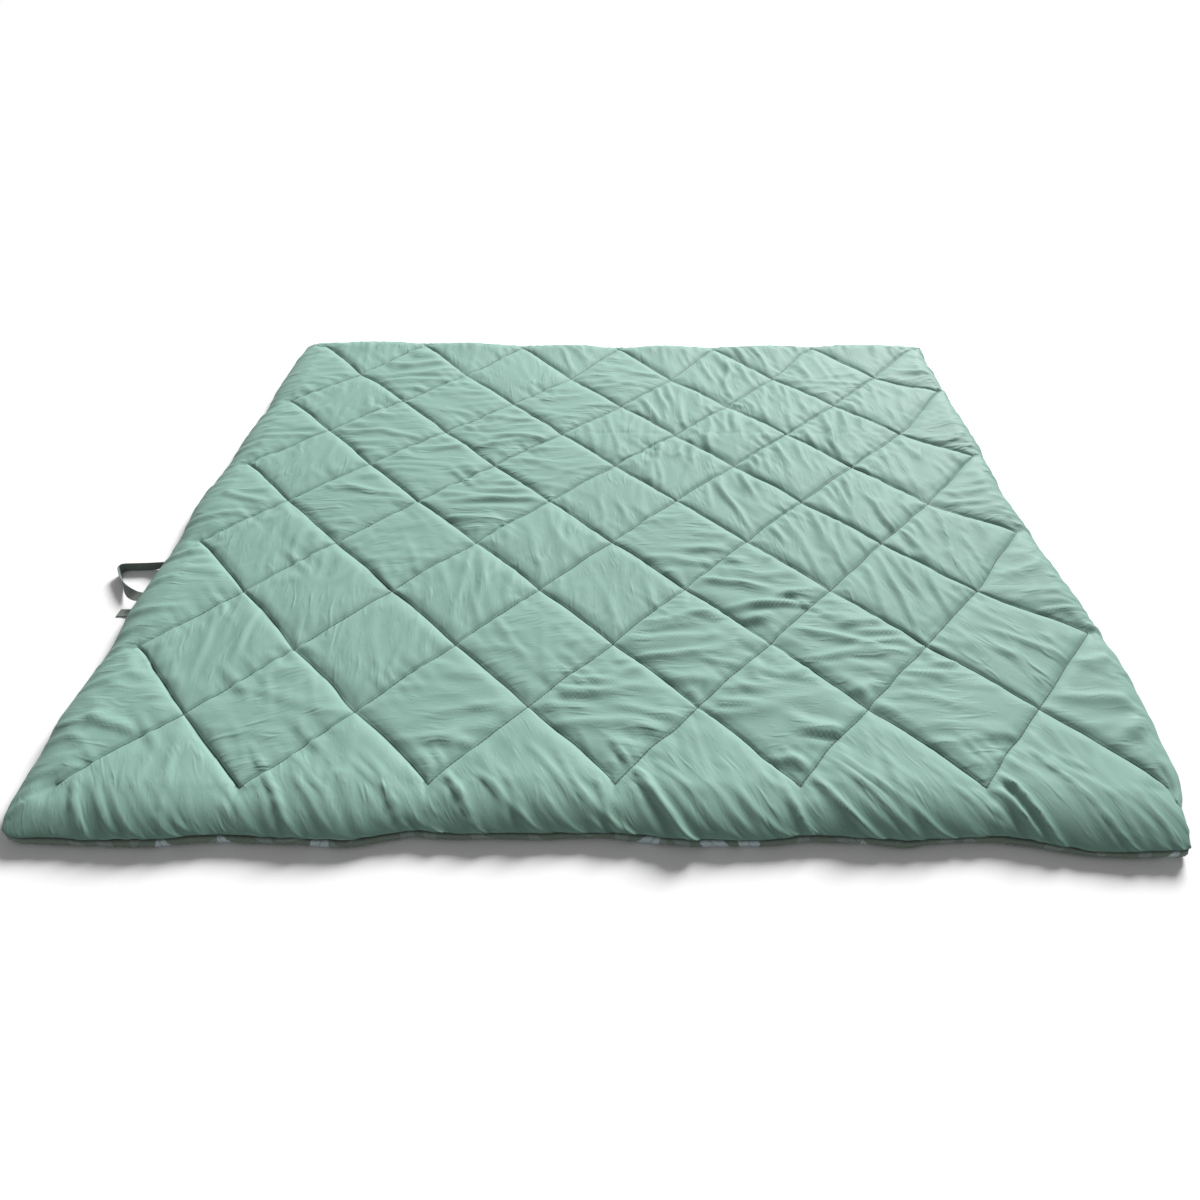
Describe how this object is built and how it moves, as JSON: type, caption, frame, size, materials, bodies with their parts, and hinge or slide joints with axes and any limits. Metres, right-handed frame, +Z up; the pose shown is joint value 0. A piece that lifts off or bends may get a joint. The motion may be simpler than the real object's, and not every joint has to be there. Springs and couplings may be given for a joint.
{
  "type": "quilted comforter",
  "caption": "Filled comforter lying flat, sewn through in diamonds, with a printed backing turned up to the edge seam and a webbing loop at the left side.",
  "frame": {"origin": "centre of the flat underside, on the surface that the comforter lies on", "axes": "+X across the width to the side away from the webbing loop, +Y along the depth to the back edge, +Z up"},
  "size_m": [2.4023, 1.9966, 0.0637],
  "materials": {
    "cover_cloth": "satin",
    "backing_cloth": "matte",
    "webbing": "matte"
  },
  "bodies": {
    "root": {"quilt_cover": "cover_cloth", "backing": "backing_cloth", "strap_loop": "webbing", "strap_end": "webbing"}
  },
  "joints": []
}
